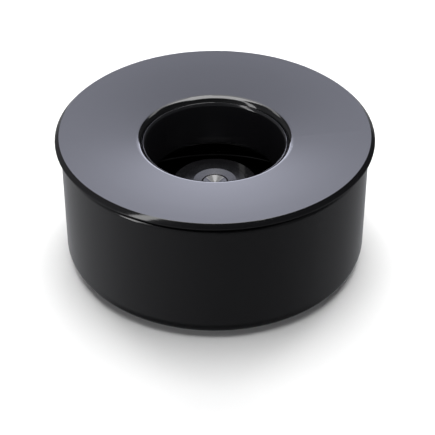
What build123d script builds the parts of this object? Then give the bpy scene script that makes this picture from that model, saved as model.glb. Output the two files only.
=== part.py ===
from build123d import *
import math
import os

# A free-standing round table pot for ash and small waste, in two black mouldings:
# a bowl, and a lid ring whose top is dished towards a central mouth. A lift-out
# funnel hangs in the mouth, over a stub-out post screwed to the bowl's floor.
# Millimetres. +Z is up, and the origin is on the table, on the pot's axis.

# Driving dimensions
LID_EDGE_HEIGHT = 53.4          # of the crease where the lid's dish meets its flank
LID_RADIUS = 60.0
CREASE_RADIUS = 58.47
CREASE_ROUND = 0.15
FLANK_DROP = 1.37               # the chamfered flank falls this far from the crease
FLANK_SWELL = 0.07              # and bulges this much
FLANK_BEND_RADIUS = 12.0
EDGE_LAND = 0.5                 # the upright edge under the flank
EDGE_ROUND = 0.08
LID_PLATE = 3.0
DISH_DROP = 3.3                 # from the crease down to the mouth
DISH_SWELL = 0.17               # the dish is this much fuller than a plain cone
DISH_BEND_RADIUS = 560.0
MOUTH_RADIUS = 27.4
MOUTH_ROUND = 2.7
COLLAR_WALL = 2.2
COLLAR_DEPTH = 15.0             # from the crease down to the collar's foot
LEDGE_DEPTH = 13.0              # and to the ledge that the funnel hangs on
LEDGE_WIDTH = 0.9
SKIRT_WALL = 2.0
SKIRT_DEPTH = 4.4
FINGER_GROOVE = 2.33            # height between the lid's edge and the bowl's rim

BOWL_TOP_RADIUS = 57.9
BOWL_BOTTOM_RADIUS = 57.6
BOWL_RIM_ROUND = 1.2
BOWL_BASE_ROUND = 5.9
BOWL_WALL = 2.8
BOWL_FLOOR = 3.0
BASE_RING_INNER = 34.0          # the base stands proud outside this radius
BASE_RING_PROUD = 0.5
FOOT_GAP = 0.9                  # how far the pads hold the bowl off the table
SEAT_CLEARANCE = 0.35           # between the lid's skirt and the bowl's wall

FUNNEL_GAP = 0.2                # between the funnel's rim and the mouth
FUNNEL_RIM_DEPTH = 4.6          # from the crease down to the funnel's rim
FUNNEL_BEVEL = 0.9              # width and height of the rim's inner bevel
FUNNEL_BEVEL_ROUND = 1.2
FUNNEL_LIP_DEPTH = 22.3
FUNNEL_LIP_INNER = 23.8
FUNNEL_WALL = 1.9

POST_DEPTH = 23.1               # from the crease down to the head's top
POST_RADIUS = 12.3
POST_EDGE = 3.0                 # thickness of the head
FLANGE_RADIUS = 16.5            # of the ash flange round the head
FLANGE_STEP = 0.8               # from the head's top down to the flange
FLANGE_THICKNESS = 1.5
POST_STEM = 6.5
POST_FOOT = 8.5
DISH_RING_RADIUS = 8.3          # the stub-out dish in the head
DISH_RING_ANGLE = 8.0
CAP_RADIUS = 4.85
CAP_THICKNESS = 2.6
CAP_LAND = 0.3                  # width of the flat round the cap's hollow
CAP_ANGLE = 15.5                # slope of the hollow
CAP_GAP = 0.25
SPIGOT_RADIUS = 2.0
SPIGOT_LENGTH = 5.0

BOSS_RADIUS = 9.5
BOSS_HEIGHT = 4.0               # of the boss above the bowl's floor
SCREW_RADIUS = 1.9
SCREW_LENGTH = 15.0
SCREW_HEAD_RADIUS = 3.6
SCREW_HEAD_HEIGHT = 1.8
THREAD_CLEARANCE = 0.04
WASHER_RADIUS = 4.6
WASHER_THICKNESS = 0.8
RECESS_RADIUS = 5.4             # under the bowl, for the screw's head
RECESS_DEPTH = 3.2

PAD_COUNT = 4
PAD_RADIUS = 5.0
PAD_THICKNESS = 1.7
PAD_CIRCLE = 41.0
PAD_GAP = 0.15                  # round each pad, in its recess

# Heights that follow from them
BASE = FOOT_GAP
FLOOR_TOP = BASE + BOWL_FLOOR
LID_EDGE_TOP = LID_EDGE_HEIGHT - FLANK_DROP
LID_UNDER_EDGE = LID_EDGE_TOP - EDGE_LAND
BOWL_RIM = LID_UNDER_EDGE - FINGER_GROOVE
BOWL_INNER_TOP = BOWL_TOP_RADIUS - BOWL_WALL
BOWL_INNER_BOTTOM = BOWL_BOTTOM_RADIUS - BOWL_WALL
BOSS_TOP = FLOOR_TOP + BOSS_HEIGHT
LEDGE_TOP = LID_EDGE_HEIGHT - LEDGE_DEPTH
LEDGE_RADIUS = MOUTH_RADIUS - LEDGE_WIDTH
POST_TOP = LID_EDGE_HEIGHT - POST_DEPTH
RECESS_TOP = BASE + RECESS_DEPTH
SHORTEST_LINE = 1e-6            # arcs that meet closer than this need no line between


def turned(corners):
    """A solid of revolution about Z from corners of (radius, height, rounding)."""
    count = len(corners)
    starts = []
    ends = []
    with BuildPart() as solid:
        with BuildSketch(Plane.XZ):
            with BuildLine():
                for index, (radius, height, rounding) in enumerate(corners):
                    corner = Vector(radius, height)
                    back = (Vector(*corners[index - 1][:2]) - corner).normalized()
                    ahead = (Vector(*corners[(index + 1) % count][:2]) - corner).normalized()
                    half_angle = math.radians(back.get_angle(ahead)) / 2
                    reach = rounding / math.tan(half_angle)
                    starts.append(corner + back * reach)
                    ends.append(corner + ahead * reach)
                    if rounding > 0:
                        inward = (back + ahead).normalized()
                        gap = rounding / math.sin(half_angle) - rounding
                        ThreePointArc(starts[-1], corner + inward * gap, ends[-1])
                for index in range(count):
                    if (starts[index] - ends[index - 1]).length > SHORTEST_LINE:
                        Line(ends[index - 1], starts[index])
            make_face()
        revolve(axis=Axis.Z)
    return solid.part


def disc(radius, bottom, top):
    """A plain cylinder on the Z axis between two heights."""
    return Pos(0, 0, bottom) * Cylinder(
        radius, top - bottom, align=(Align.CENTER, Align.CENTER, Align.MIN)
    )


def pad_places():
    """The place of each foot pad, evenly round the base and clear of the axes."""
    places = []
    for index in range(PAD_COUNT):
        angle = math.radians(360 / PAD_COUNT * (index + 0.5))
        places.append((PAD_CIRCLE * math.cos(angle), PAD_CIRCLE * math.sin(angle)))
    return places


def make_bowl():
    """The outer pot: drafted wall, rounded rim and base, and a boss for the post."""
    shell = turned([
        (0, BASE + BASE_RING_PROUD, 0),
        (BASE_RING_INNER, BASE + BASE_RING_PROUD, 0.2),
        (BASE_RING_INNER + BASE_RING_PROUD, BASE, 0.2),
        (BOWL_BOTTOM_RADIUS, BASE, BOWL_BASE_ROUND),
        (BOWL_TOP_RADIUS, BOWL_RIM, BOWL_RIM_ROUND),
        (BOWL_INNER_TOP, BOWL_RIM, 0.4),
        (BOWL_INNER_BOTTOM, FLOOR_TOP, 4.0),
        (BOSS_RADIUS, FLOOR_TOP, 1.5),
        (BOSS_RADIUS, BOSS_TOP, 0.5),
        (0, BOSS_TOP, 0),
    ])
    shell -= disc(RECESS_RADIUS, BASE - 1, RECESS_TOP)
    shell -= disc(SCREW_RADIUS + 0.2, BASE, BOSS_TOP + 1)
    for x, y in pad_places():
        shell -= Pos(x, y, 0) * disc(PAD_RADIUS + PAD_GAP, BASE - 1, PAD_THICKNESS)
    return shell


def make_lid():
    """The ring lid: dished top, chamfered edge, locating skirt and mouth collar."""
    lip_height = LID_EDGE_HEIGHT - DISH_DROP
    middle_radius = (CREASE_RADIUS + MOUTH_RADIUS) / 2
    middle_height = (LID_EDGE_HEIGHT + lip_height) / 2 + 2 * DISH_SWELL
    flank_angle = math.atan2(FLANK_DROP, LID_RADIUS - CREASE_RADIUS)
    flank_radius = (LID_RADIUS + CREASE_RADIUS) / 2 + FLANK_SWELL * math.sin(flank_angle)
    flank_height = LID_EDGE_HEIGHT - FLANK_DROP / 2 + FLANK_SWELL * math.cos(flank_angle)
    step_radius = BOWL_TOP_RADIUS - BOWL_RIM_ROUND - 0.4
    skirt_outer = BOWL_INNER_TOP - SEAT_CLEARANCE
    skirt_inner = skirt_outer - SKIRT_WALL
    skirt_bottom = BOWL_RIM - SKIRT_DEPTH
    collar_outer = MOUTH_RADIUS + COLLAR_WALL
    collar_bottom = LID_EDGE_HEIGHT - COLLAR_DEPTH
    slope = DISH_DROP / (CREASE_RADIUS - MOUTH_RADIUS)
    under_skirt = LID_EDGE_HEIGHT - LID_PLATE - slope * (CREASE_RADIUS - skirt_inner)
    under_collar = LID_EDGE_HEIGHT - LID_PLATE - slope * (CREASE_RADIUS - collar_outer)
    return turned([
        (LEDGE_RADIUS, collar_bottom, 0.3),
        (collar_outer, collar_bottom, 0.6),
        (collar_outer, under_collar, 1.0),
        (skirt_inner, under_skirt, 1.0),
        (skirt_inner, skirt_bottom, 0.4),
        (skirt_outer, skirt_bottom, 0.6),
        (skirt_outer, BOWL_RIM, 0),
        (step_radius, BOWL_RIM, 0.1),
        (step_radius, LID_UNDER_EDGE, 0.4),
        (LID_RADIUS, LID_UNDER_EDGE, EDGE_ROUND),
        (LID_RADIUS, LID_EDGE_TOP, EDGE_ROUND),
        (flank_radius, flank_height, FLANK_BEND_RADIUS),
        (CREASE_RADIUS, LID_EDGE_HEIGHT, CREASE_ROUND),
        (middle_radius, middle_height, DISH_BEND_RADIUS),
        (MOUTH_RADIUS, lip_height, MOUTH_ROUND),
        (MOUTH_RADIUS, LEDGE_TOP, 0.15),
        (LEDGE_RADIUS, LEDGE_TOP, 0.2),
    ])


def make_funnel():
    """The lift-out funnel: a bevelled rim, a shoulder on the lid's ledge and an open cone."""
    rim_height = LID_EDGE_HEIGHT - FUNNEL_RIM_DEPTH
    lip_height = LID_EDGE_HEIGHT - FUNNEL_LIP_DEPTH
    rim_outer = MOUTH_RADIUS - FUNNEL_GAP
    cone_radius = rim_outer - FUNNEL_BEVEL
    cone_height = rim_height - FUNNEL_BEVEL
    slope = (cone_radius - FUNNEL_LIP_INNER) / (cone_height - lip_height)
    neck_outer = LEDGE_RADIUS - FUNNEL_GAP
    lip_outer = FUNNEL_LIP_INNER + FUNNEL_WALL
    neck_bottom = lip_height + (neck_outer - lip_outer) / slope
    return turned([
        (FUNNEL_LIP_INNER, lip_height, 0.9),
        (lip_outer, lip_height, 0.8),
        (neck_outer, neck_bottom, 0.5),
        (neck_outer, LEDGE_TOP, 0),
        (rim_outer, LEDGE_TOP, 0.3),
        (rim_outer, rim_height, 0.12),
        (cone_radius, cone_height, FUNNEL_BEVEL_ROUND),
    ])


def make_stub_post():
    """The stub-out post: a flanged head with a shallow dish and a cap's socket."""
    socket_radius = CAP_RADIUS + CAP_GAP
    ring_drop = (DISH_RING_RADIUS - socket_radius) * math.tan(math.radians(DISH_RING_ANGLE))
    socket_top = POST_TOP - ring_drop
    socket_floor = socket_top - CAP_THICKNESS
    flange_top = POST_TOP - FLANGE_STEP
    flange_bottom = flange_top - FLANGE_THICKNESS
    head_bottom = POST_TOP - POST_EDGE
    neck_height = head_bottom - (POST_RADIUS - POST_STEM)
    post = turned([
        (0, BOSS_TOP, 0),
        (POST_FOOT, BOSS_TOP, 0.4),
        (POST_FOOT, BOSS_TOP + 2, 0.4),
        (POST_STEM, BOSS_TOP + 4, 2.0),
        (POST_STEM, neck_height, 3.0),
        (POST_RADIUS, head_bottom, 0.1),
        (FLANGE_RADIUS, flange_bottom, 0.3),
        (FLANGE_RADIUS, flange_top, 0.5),
        (POST_RADIUS, flange_top, 0.2),
        (POST_RADIUS, POST_TOP, 0.5),
        (DISH_RING_RADIUS, POST_TOP, 0),
        (socket_radius, socket_top, 0.1),
        (socket_radius, socket_floor, 0),
        (0, socket_floor, 0),
    ])
    core_top = RECESS_TOP - WASHER_THICKNESS + SCREW_LENGTH + 0.5
    post -= disc(SCREW_RADIUS + THREAD_CLEARANCE, BOSS_TOP - 1, core_top)
    post -= disc(SPIGOT_RADIUS + THREAD_CLEARANCE, socket_floor - SPIGOT_LENGTH - 0.5, POST_TOP)
    return post


def make_stub_cap():
    """The black cap pressed into the post's head, with a shallow conical hollow."""
    socket_radius = CAP_RADIUS + CAP_GAP
    ring_drop = (DISH_RING_RADIUS - socket_radius) * math.tan(math.radians(DISH_RING_ANGLE))
    top = POST_TOP - ring_drop
    bottom = top - CAP_THICKNESS
    hollow_radius = CAP_RADIUS - CAP_LAND
    hollow_depth = hollow_radius * math.tan(math.radians(CAP_ANGLE))
    return turned([
        (0, bottom - SPIGOT_LENGTH, 0),
        (SPIGOT_RADIUS, bottom - SPIGOT_LENGTH, 0.4),
        (SPIGOT_RADIUS, bottom, 0),
        (CAP_RADIUS, bottom, 0.15),
        (CAP_RADIUS, top, 0.15),
        (hollow_radius, top, 0.1),
        (0, top - hollow_depth, 0),
    ])


def make_post_screw():
    """The pan-head screw that holds the post, driven up from under the bowl."""
    seat = RECESS_TOP - WASHER_THICKNESS
    tip = seat + SCREW_LENGTH
    screw = turned([
        (0, seat - SCREW_HEAD_HEIGHT, 0),
        (SCREW_HEAD_RADIUS, seat - SCREW_HEAD_HEIGHT, 0.7),
        (SCREW_HEAD_RADIUS, seat, 0.1),
        (SCREW_RADIUS, seat, 0),
        (SCREW_RADIUS, tip - 1.5, 0),
        (0.6, tip, 0),
        (0, tip, 0),
    ])
    slot = Pos(0, 0, seat - SCREW_HEAD_HEIGHT) * Box(3.8, 0.8, 1.8)
    return screw - slot - Rot(0, 0, 90) * slot


def make_post_washer():
    """The plain washer between the screw's head and the bowl."""
    seat = RECESS_TOP - WASHER_THICKNESS
    return turned([
        (SCREW_RADIUS + 0.2, seat, 0),
        (WASHER_RADIUS, seat, 0.15),
        (WASHER_RADIUS, RECESS_TOP, 0.15),
        (SCREW_RADIUS + 0.2, RECESS_TOP, 0),
    ])


def make_foot_pad(x, y):
    """One round rubber pad, glued in its recess and standing on the table."""
    return Pos(x, y, 0) * turned([
        (0, 0, 0),
        (PAD_RADIUS, 0, 0.4),
        (PAD_RADIUS, PAD_THICKNESS, 0.1),
        (0, PAD_THICKNESS, 0),
    ])


os.makedirs("parts", exist_ok=True)
pieces = {
    "bowl": make_bowl(),
    "lid": make_lid(),
    "funnel": make_funnel(),
    "stub_post": make_stub_post(),
    "stub_cap": make_stub_cap(),
    "post_screw": make_post_screw(),
    "post_washer": make_post_washer(),
}
for number, (x, y) in enumerate(pad_places(), start=1):
    pieces[f"foot_pad_{number}"] = make_foot_pad(x, y)
for name, piece in pieces.items():
    export_step(piece, f"parts/{name}.step")
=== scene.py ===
import math
import bpy
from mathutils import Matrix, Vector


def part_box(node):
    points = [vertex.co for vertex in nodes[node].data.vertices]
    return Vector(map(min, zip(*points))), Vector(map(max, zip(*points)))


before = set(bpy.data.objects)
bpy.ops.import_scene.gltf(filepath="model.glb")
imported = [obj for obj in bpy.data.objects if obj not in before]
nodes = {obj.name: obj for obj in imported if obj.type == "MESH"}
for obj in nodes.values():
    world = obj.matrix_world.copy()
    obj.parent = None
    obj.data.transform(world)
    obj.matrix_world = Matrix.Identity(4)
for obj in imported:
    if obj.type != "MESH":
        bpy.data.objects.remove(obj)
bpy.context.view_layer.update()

MM = 0.001
lid_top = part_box("lid")[1].z

scene = bpy.context.scene
scene.view_settings.view_transform = "Standard"
scene.view_settings.look = "None"


# ---------------------------------------------------------------- camera
CAMERA_DISTANCE = 0.600         # from the middle of the lid's top
CAMERA_ELEVATION = 33.37        # degrees, like every angle among these constants
CAMERA_PITCH = 36.49            # steeper than the elevation, so the pot sits high in the frame
CAMERA_YAW = -0.112             # turned a little to the right of the pot's axis
SENSOR = 36.0                   # mm
LENS = 132.3                    # mm
CLIP_NEAR = 0.05
CLIP_FAR = 20


def make_camera():
    """The rest view: in front of the pot and above it."""
    data = bpy.data.cameras.new("camera")
    camera = bpy.data.objects.new("camera", data)
    scene.collection.objects.link(camera)
    elevation = math.radians(CAMERA_ELEVATION)
    camera.location = (
        0,
        -CAMERA_DISTANCE * math.cos(elevation),
        lid_top + CAMERA_DISTANCE * math.sin(elevation),
    )
    camera.rotation_euler = (
        math.radians(90 - CAMERA_PITCH),
        0,
        math.radians(CAMERA_YAW),
    )
    data.sensor_width = SENSOR
    data.lens = LENS
    data.clip_start = CLIP_NEAR
    data.clip_end = CLIP_FAR
    scene.camera = camera


# ---------------------------------------------------------------- node helpers
NOISE_LOW = 0.3                 # nearly all of a noise's values lie between these two
NOISE_HIGH = 0.7
WHITE = (1, 1, 1, 1)
BLACK = (0, 0, 0, 1)


def new_material(name):
    """A node material with only its output and a Principled shader."""
    material = bpy.data.materials.new(name)
    material.use_nodes = True
    tree = material.node_tree
    tree.nodes.clear()
    output = tree.nodes.new("ShaderNodeOutputMaterial")
    shader = tree.nodes.new("ShaderNodeBsdfPrincipled")
    tree.links.new(shader.outputs["BSDF"], output.inputs["Surface"])
    return material, tree, shader


def feed(tree, socket, value):
    """Sets the socket to a number, or links another socket to it."""
    if isinstance(value, (int, float)):
        socket.default_value = value
    else:
        tree.links.new(value, socket)


def noise(tree, scale, detail):
    """Noise in the object's own coordinates, scale per metre."""
    place = tree.nodes.new("ShaderNodeTexCoord")
    texture = tree.nodes.new("ShaderNodeTexNoise")
    texture.inputs["Scale"].default_value = scale
    texture.inputs["Detail"].default_value = detail
    tree.links.new(place.outputs["Object"], texture.inputs["Vector"])
    return texture.outputs["Fac"]


def remap(tree, value, low, high, start=NOISE_LOW, end=NOISE_HIGH):
    """The value spread from start..end to low..high, and held there outside it."""
    spread = tree.nodes.new("ShaderNodeMapRange")
    spread.inputs["From Min"].default_value = start
    spread.inputs["From Max"].default_value = end
    spread.inputs["To Min"].default_value = low
    spread.inputs["To Max"].default_value = high
    tree.links.new(value, spread.inputs["Value"])
    return spread.outputs["Result"]


def mix(tree, factor, low, high):
    """Low where the factor is 0 and high where it is 1."""
    blend = tree.nodes.new("ShaderNodeMix")
    tree.links.new(factor, blend.inputs["Factor"])
    feed(tree, blend.inputs["A"], low)
    feed(tree, blend.inputs["B"], high)
    return blend.outputs["Result"]


def calculate(tree, operation, *values):
    """A math node over sockets or numbers."""
    node = tree.nodes.new("ShaderNodeMath")
    node.operation = operation
    for socket, value in zip(node.inputs, values):
        feed(tree, socket, value)
    return node.outputs["Value"]


def bump(tree, shader, height, strength, depth):
    """Relief of that depth in metres, on the shader's normal."""
    relief = tree.nodes.new("ShaderNodeBump")
    relief.inputs["Strength"].default_value = strength
    relief.inputs["Distance"].default_value = depth
    tree.links.new(height, relief.inputs["Height"])
    tree.links.new(relief.outputs["Normal"], shader.inputs["Normal"])


# ---------------------------------------------------------------- materials
# A grain is the noise's scale per metre and its detail.
MELAMINE_GREY = 0.002
MELAMINE_BLUE = 1.15            # the colour's blue, as a share of its grey
MELAMINE_IOR = 1.52
FINISH_GRAIN = (160, 4)
FINISH_SPREAD = (0.85, 1.2)     # the least and most roughness, as shares of the nominal one
PEEL_GRAIN = (700, 2)
PEEL_DEPTH = 0.02 * MM

ZINC_COLOUR = (0.6, 0.6, 0.6, 1)
ZINC_GRAIN = (2000, 3)
ZINC_ROUGHNESS = (0.25, 0.45)

RUBBER_COLOUR = (0.02, 0.02, 0.02, 1)
RUBBER_GRAIN = (1500, 4)
RUBBER_ROUGHNESS = (0.7, 0.95)
RUBBER_RELIEF_GRAIN = (3000, 3)
RUBBER_RELIEF = 0.4
RUBBER_RELIEF_DEPTH = 0.05 * MM


def melamine(name, roughness, peel, grey=MELAMINE_GREY, ior=MELAMINE_IOR):
    """Moulded black melamine: fine orange peel and a finish that varies a little."""
    material, tree, shader = new_material(name)
    shader.inputs["Base Color"].default_value = (grey, grey, grey * MELAMINE_BLUE, 1)
    shader.inputs["IOR"].default_value = ior
    least, most = (roughness * share for share in FINISH_SPREAD)
    finish = remap(tree, noise(tree, *FINISH_GRAIN), least, most)
    tree.links.new(finish, shader.inputs["Roughness"])
    bump(tree, shader, noise(tree, *PEEL_GRAIN), peel, PEEL_DEPTH)
    return material


def zinc_steel():
    """Bright zinc plating with a faint mottle."""
    material, tree, shader = new_material("fixing_steel")
    shader.inputs["Base Color"].default_value = ZINC_COLOUR
    shader.inputs["Metallic"].default_value = 1.0
    mottle = remap(tree, noise(tree, *ZINC_GRAIN), *ZINC_ROUGHNESS)
    tree.links.new(mottle, shader.inputs["Roughness"])
    return material


def pad_rubber():
    """Matt black rubber with a fine grain."""
    material, tree, shader = new_material("pad_rubber")
    shader.inputs["Base Color"].default_value = RUBBER_COLOUR
    grain = remap(tree, noise(tree, *RUBBER_GRAIN), *RUBBER_ROUGHNESS)
    tree.links.new(grain, shader.inputs["Roughness"])
    relief = noise(tree, *RUBBER_RELIEF_GRAIN)
    bump(tree, shader, relief, RUBBER_RELIEF, RUBBER_RELIEF_DEPTH)
    return material


def paint(node, material):
    """Gives a CAD node its material."""
    for slot in nodes[node].material_slots:
        slot.material = material


# ---------------------------------------------------------------- floor, wall and backdrop
# Lengths are in metres, and a glow is a radiance.
FLOOR_REACH = 4.0               # half the table's side
FLOOR_ALBEDO = 0.6
FLOOR_ROUGHNESS = 0.9
FAR_FLOOR_START = 0.45          # from here outwards the table glows more and more,
FAR_FLOOR_END = 1.1             # up to a glow of 1 from here on

SURROUND_RADIUS = 3.2           # of the pale wall that closes the low views
SURROUND_FOOT = -0.5
SURROUND_TOP = 3.5
SURROUND_SIDES = 96
SURROUND_GLOW = 1.0

PANEL_DISTANCE = 1.2
PANEL_FOOT = 0.01
PANEL_TOP = 1.75
PANEL_HALF_WIDTH = 0.58
PANEL_COLOUR = (0.82, 0.84, 1.0, 1)
PANEL_STEPS = (                 # glow at heights up the panel, from 0 at its foot to 1
    (0.12, 5.0),
    (0.30, 3.8),
    (0.36, 3.6),
    (0.47, 2.75),
    (0.62, 2.5),
)


def mesh_object(name, vertices, faces):
    """A plain mesh in the scene."""
    mesh = bpy.data.meshes.new(name)
    mesh.from_pydata(vertices, [], faces)
    made = bpy.data.objects.new(name, mesh)
    scene.collection.objects.link(made)
    return made


def make_floor():
    """A plain white table whose far part glows more and more, a painted light that keeps it
    pale beyond the reach of the lights.
    """
    reach = FLOOR_REACH
    corners = [(-reach, -reach, 0), (reach, -reach, 0), (reach, reach, 0), (-reach, reach, 0)]
    floor = mesh_object("floor", corners, [(0, 1, 2, 3)])
    floor.visible_glossy = False        # the world's lower half stands for it in reflections
    material, tree, shader = new_material("floor_white")
    shader.inputs["Base Color"].default_value = (FLOOR_ALBEDO, FLOOR_ALBEDO, FLOOR_ALBEDO, 1)
    shader.inputs["Roughness"].default_value = FLOOR_ROUGHNESS
    shader.inputs["Specular IOR Level"].default_value = 0.0
    shader.inputs["Emission Color"].default_value = WHITE
    place = tree.nodes.new("ShaderNodeTexCoord")
    distance = tree.nodes.new("ShaderNodeVectorMath")
    distance.operation = "LENGTH"
    tree.links.new(place.outputs["Object"], distance.inputs[0])
    # painted light: the table glows more and more with its distance from the pot
    far_glow = remap(tree, distance.outputs["Value"], 0, 1, FAR_FLOOR_START, FAR_FLOOR_END)
    tree.links.new(far_glow, shader.inputs["Emission Strength"])
    floor.data.materials.append(material)


def make_surround():
    """A pale round wall far behind everything, for the low views; it lights nothing."""
    vertices = []
    faces = []
    for index in range(SURROUND_SIDES):
        angle = 2 * math.pi * index / SURROUND_SIDES
        x = SURROUND_RADIUS * math.cos(angle)
        y = SURROUND_RADIUS * math.sin(angle)
        vertices += [(x, y, SURROUND_FOOT), (x, y, SURROUND_TOP)]
        low = 2 * index
        following = (low + 2) % (2 * SURROUND_SIDES)
        faces.append((low, following, following + 1, low + 1))
    wall = mesh_object("surround", vertices, faces)
    wall.visible_glossy = False
    wall.visible_diffuse = False
    wall.visible_shadow = False
    material, _, shader = new_material("surround_white")
    shader.inputs["Base Color"].default_value = BLACK
    shader.inputs["Specular IOR Level"].default_value = 0.0
    shader.inputs["Emission Color"].default_value = WHITE
    shader.inputs["Emission Strength"].default_value = SURROUND_GLOW
    wall.data.materials.append(material)


def panel_glow():
    """The backdrop's material, which glows more towards its foot."""
    material = bpy.data.materials.new("panel_glow")
    material.use_nodes = True
    tree = material.node_tree
    tree.nodes.clear()
    output = tree.nodes.new("ShaderNodeOutputMaterial")
    glow = tree.nodes.new("ShaderNodeEmission")
    place = tree.nodes.new("ShaderNodeTexCoord")
    split = tree.nodes.new("ShaderNodeSeparateXYZ")
    tree.links.new(place.outputs["Generated"], split.inputs["Vector"])
    ramp = tree.nodes.new("ShaderNodeValToRGB")
    brightest = PANEL_STEPS[0][1]
    steps = ramp.color_ramp.elements
    while len(steps) < len(PANEL_STEPS):
        steps.new(0.5)                  # anywhere: each is put in its place below
    for step, (height, level) in zip(steps, PANEL_STEPS):
        share = level / brightest
        step.position = height
        step.color = (share, share, share, 1)
    tree.links.new(split.outputs["Z"], ramp.inputs["Fac"])
    strength = remap(tree, ramp.outputs["Color"], 0, brightest, 0, 1)
    tree.links.new(strength, glow.inputs["Strength"])
    glow.inputs["Color"].default_value = PANEL_COLOUR
    tree.links.new(glow.outputs["Emission"], output.inputs["Surface"])
    return material


def make_back_panel():
    """The bright backdrop behind the pot, which the dished top reflects."""
    corners = [
        (-PANEL_HALF_WIDTH, PANEL_DISTANCE, PANEL_FOOT),
        (PANEL_HALF_WIDTH, PANEL_DISTANCE, PANEL_FOOT),
        (PANEL_HALF_WIDTH, PANEL_DISTANCE, PANEL_TOP),
        (-PANEL_HALF_WIDTH, PANEL_DISTANCE, PANEL_TOP),
    ]
    panel = mesh_object("back_panel", corners, [(0, 1, 2, 3)])
    panel.visible_diffuse = False       # the back fill lights the table in its place
    panel.data.materials.append(panel_glow())


# ---------------------------------------------------------------- lights
OVERHEAD_PLACE = (0, 0.04, 1.0)
OVERHEAD_SIZE = (0.83, 0.83)
OVERHEAD_GLOW = 7.6

CEILING_PLACE = (0, 0.6, 1.0)
CEILING_SIZE = (1.9, 0.29)
CEILING_GLOW = 2.7

BACK_FILL_PLACE = (0, 1.3, 0.9)
BACK_FILL_SIZE = (2.6, 1.0)
BACK_FILL_TILT = -58
BACK_FILL_GLOW = 8.0

FRONT_FILL_PLACE = (0, -1.2, 0.3)
FRONT_FILL_SIZE = (2.4, 0.5)
FRONT_FILL_TILT = 80
FRONT_FILL_GLOW = 2.2

SIDE_BOX_DISTANCE = 0.9
SIDE_BOX_AZIMUTH = -58          # from straight in front, towards the left
SIDE_BOX_WIDTH = 0.2
SIDE_BOX_HEIGHT = 2.0
SIDE_BOX_GLOW = 5.5


def area_light(name, place, size, radiance, turn=(0, 0, 0), only=None):
    """A soft box that the camera doesn't see, turned by those angles from facing down.

    only is "diffuse" or "glossy" for a light that just those rays see.
    """
    data = bpy.data.lights.new(name, "AREA")
    data.shape = "RECTANGLE"
    data.size, data.size_y = size
    data.energy = radiance * math.pi * data.size * data.size_y
    light = bpy.data.objects.new(name, data)
    scene.collection.objects.link(light)
    light.location = place
    light.rotation_euler = [math.radians(angle) for angle in turn]
    light.visible_camera = False
    light.visible_glossy = only != "diffuse"
    light.visible_diffuse = only != "glossy"


def make_lights():
    """The studio's soft boxes and fills."""
    # The big soft box over the pot lights the table and the mouth's lip.
    area_light("overhead", OVERHEAD_PLACE, OVERHEAD_SIZE, OVERHEAD_GLOW)
    # The wide pale ceiling between it and the backdrop is seen in the mouth's lip.
    area_light("ceiling", CEILING_PLACE, CEILING_SIZE, CEILING_GLOW, only="glossy")
    # The light that the whole backdrop throws forward over the table.
    area_light(
        "back_fill", BACK_FILL_PLACE, BACK_FILL_SIZE, BACK_FILL_GLOW,
        turn=(BACK_FILL_TILT, 0, 0), only="diffuse",
    )
    # A low, weak light from the front that reaches under the pot's rounded base.
    area_light(
        "front_fill", FRONT_FILL_PLACE, FRONT_FILL_SIZE, FRONT_FILL_GLOW,
        turn=(FRONT_FILL_TILT, 0, 0), only="diffuse",
    )
    # The upright strip at the front left is seen as a glint on the lid's edge.
    azimuth = math.radians(SIDE_BOX_AZIMUTH)
    side_place = (
        SIDE_BOX_DISTANCE * math.sin(azimuth),
        -SIDE_BOX_DISTANCE * math.cos(azimuth),
        SIDE_BOX_HEIGHT / 2,
    )
    area_light(
        "side_box", side_place, (SIDE_BOX_WIDTH, SIDE_BOX_HEIGHT), SIDE_BOX_GLOW,
        turn=(90, 0, SIDE_BOX_AZIMUTH), only="glossy",
    )


# ---------------------------------------------------------------- world
# Each pair is a range of one component of the direction: X is to the right, Y to the back
# and Z up. Over that range a glow changes from its first value to its second.
ROOM_COLOUR = (0.95, 0.96, 1.0, 1)
ROOM_GLOW = 0.08                # of the dark studio above the table
ROOM_GLOW_LEFT = 0.22           # added by the paler wall on the left
LEFT_WALL_X = (-0.8, -0.1)
ROOM_GLOW_FRONT = 0.07          # and by the far wall in front, low down
FRONT_WALL_Y = (-0.6, -0.1)
FRONT_WALL_Z = (0.35, 0.65)
HORIZON_Z = (-0.03, 0.0)
TABLE_GLOW_FRONT = 0.19         # of the table as the pot's sides reflect it
TABLE_GLOW_SIDE = 0.37
TABLE_FRONT_TO_SIDE_Y = (-0.84, 0.0)
TABLE_GLOW_SKEW = -0.11         # brighter on the left, by the strip light
TABLE_GLOW_BELOW = 0.065        # under the pot's rounded base
BASE_SHADE_Z = (-0.85, -0.62)


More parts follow.
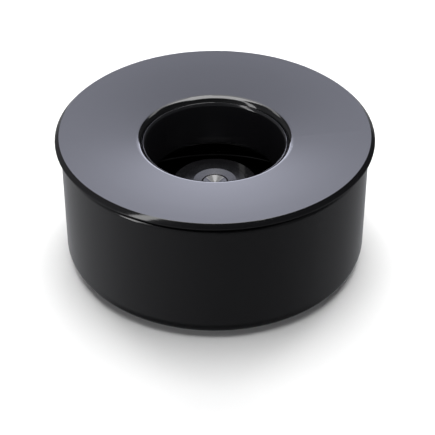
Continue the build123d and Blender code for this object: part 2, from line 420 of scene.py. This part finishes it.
def make_world():
    """A dark studio above, and below it the table as the pot reflects it."""
    world = bpy.data.worlds.new("studio")
    scene.world = world
    world.use_nodes = True
    tree = world.node_tree
    background = tree.nodes["Background"]
    place = tree.nodes.new("ShaderNodeTexCoord")
    split = tree.nodes.new("ShaderNodeSeparateXYZ")
    tree.links.new(place.outputs["Generated"], split.inputs["Vector"])
    x, y, z = split.outputs["X"], split.outputs["Y"], split.outputs["Z"]

    table = remap(tree, y, TABLE_GLOW_FRONT, TABLE_GLOW_SIDE, *TABLE_FRONT_TO_SIDE_Y)
    skewed = calculate(tree, "MULTIPLY_ADD", x, TABLE_GLOW_SKEW, table)
    clear_of_base = remap(tree, z, 0, 1, *BASE_SHADE_Z)
    under = mix(tree, clear_of_base, TABLE_GLOW_BELOW, skewed)

    left = remap(tree, x, ROOM_GLOW_LEFT, 0, *LEFT_WALL_X)
    front = remap(tree, y, ROOM_GLOW_FRONT, 0, *FRONT_WALL_Y)
    low = remap(tree, z, 1, 0, *FRONT_WALL_Z)
    low_front = calculate(tree, "MULTIPLY", low, front)
    walls = calculate(tree, "ADD", left, low_front)
    room = calculate(tree, "ADD", walls, ROOM_GLOW)

    above = remap(tree, z, 0, 1, *HORIZON_Z)
    tree.links.new(mix(tree, above, under, room), background.inputs["Strength"])
    background.inputs["Color"].default_value = ROOM_COLOUR


# ---------------------------------------------------------------- the scene
make_camera()
make_world()
make_floor()
make_surround()
make_back_panel()
make_lights()

paint("lid", melamine("lid_black", roughness=0.10, peel=0.10))
paint("funnel", melamine("funnel_black", roughness=0.12, peel=0.10, grey=0.005))
paint("stub_post", melamine("post_black", roughness=0.17, peel=0.12, grey=0.003))
paint("stub_cap", melamine("cap_black", roughness=0.10, peel=0.08, ior=1.7))
paint("bowl", melamine("bowl_black", roughness=0.13, peel=0.15))
fixing = zinc_steel()
paint("post_screw", fixing)
paint("post_washer", fixing)
rubber = pad_rubber()
for name in sorted(nodes):
    if name.startswith("foot_pad"):
        paint(name, rubber)
